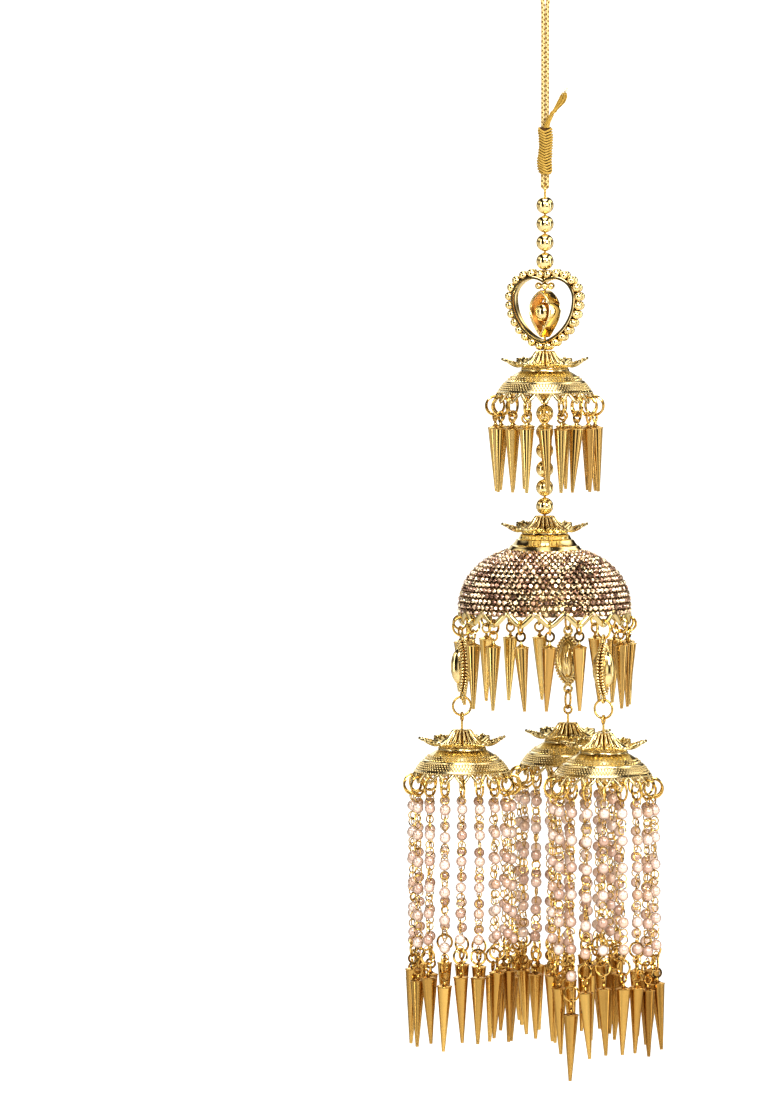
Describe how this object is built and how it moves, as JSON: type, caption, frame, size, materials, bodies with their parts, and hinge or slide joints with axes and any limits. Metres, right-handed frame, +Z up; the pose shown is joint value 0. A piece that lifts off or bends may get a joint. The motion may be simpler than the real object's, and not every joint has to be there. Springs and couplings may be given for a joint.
{
  "type": "kalire bridal ornament",
  "caption": "Hanging kalire bridal ornament: corded loop, gold beads, beaded heart, lace bell, stone-set bell and swinging pearl drops with cones",
  "frame": {"origin": "inside the top of the cord loop, where the ornament hangs from the bangle or hook", "axes": "+Z up along the hanging length, -Y toward the viewer of the pictured side, +X to the viewer's right"},
  "size_m": [0.1015, 0.1035, 0.4294],
  "materials": {
    "cord": "doubled twisted cord of metallic gold thread",
    "thread": "mustard yellow rayon thread, wound and frayed",
    "wire": "bright gold-toned drawn wire",
    "bead_gold": "polished gold-toned metal beads",
    "cast_gold": "gold-plated cast and stamped metal with raised relief",
    "lace_gold": "pale gold-plated stamped sheet with embossed dots",
    "cone_gold": "satin gold-toned spun cones, darker and redder on the lowest rows",
    "stones": "champagne faceted stones in dark gold cup chain",
    "pearl": "pinkish cream imitation pearls on fine gold wire"
  },
  "bodies": {
    "root": {"cord_loop": "cord", "cord_whipping": "thread", "cord_bight": "cord", "cord_tail": "thread", "main_wire": "wire", "bead_1": "bead_gold", "bead_2": "bead_gold", "bead_3": "bead_gold", "bead_4": "bead_gold", "heart_frame": "cast_gold", "crown_flower": "cast_gold", "lace_bell": "lace_gold", "bell_rings": "wire", "bell_cones": "cone_gold", "stem_bead_1": "bead_gold", "stem_bead_2": "bead_gold", "stem_bead_3": "bead_gold", "stem_bead_4": "bead_gold", "stem_bead_5": "bead_gold", "stem_bead_6": "bead_gold", "middle_flower": "cast_gold", "stepped_cap": "cast_gold", "stone_bell": "lace_gold", "stone_rows": "stones", "zigzag_rim": "cast_gold", "rim_rings": "wire", "rim_cones": "cone_gold"},
    "heart_drop": {"almond_ring": "cast_gold", "faceted_ball": "bead_gold", "seed_bead": "bead_gold"},
    "drop_a": {"drop_a_ring": "wire", "drop_a_marquise": "cast_gold", "drop_a_link": "wire", "drop_a_pin": "wire", "drop_a_flower": "cast_gold", "drop_a_bell": "lace_gold", "drop_a_strands": "pearl", "drop_a_cones": "cone_gold"},
    "drop_b": {"drop_b_ring": "wire", "drop_b_marquise": "cast_gold", "drop_b_link": "wire", "drop_b_pin": "wire", "drop_b_flower": "cast_gold", "drop_b_bell": "lace_gold", "drop_b_strands": "pearl", "drop_b_cones": "cone_gold"},
    "drop_c": {"drop_c_ring": "wire", "drop_c_marquise": "cast_gold", "drop_c_link": "wire", "drop_c_pin": "wire", "drop_c_flower": "cast_gold", "drop_c_bell": "lace_gold", "drop_c_strands": "pearl", "drop_c_cones": "cone_gold"}
  },
  "joints": [
    {"name": "heart_drop_swivel", "type": "hinge", "parent": "root", "child": "heart_drop", "pos_m": [0, 0, -0.13612], "axis": [0, 0, 1], "continuous": true},
    {"name": "drop_a_swing", "type": "hinge", "parent": "root", "child": "drop_a", "pos_m": [-0.03319, -0.00736, -0.25957], "axis": [-0.2164, 0.9763, 0], "range_deg": [-1, 25]},
    {"name": "drop_b_swing", "type": "hinge", "parent": "root", "child": "drop_b", "pos_m": [0.02297, -0.02507, -0.25957], "axis": [-0.7373, -0.6756, 0], "range_deg": [-1, 25]},
    {"name": "drop_c_swing", "type": "hinge", "parent": "root", "child": "drop_c", "pos_m": [0.01022, 0.03243, -0.25957], "axis": [0.9537, -0.3007, 0], "range_deg": [-1, 25]}
  ]
}
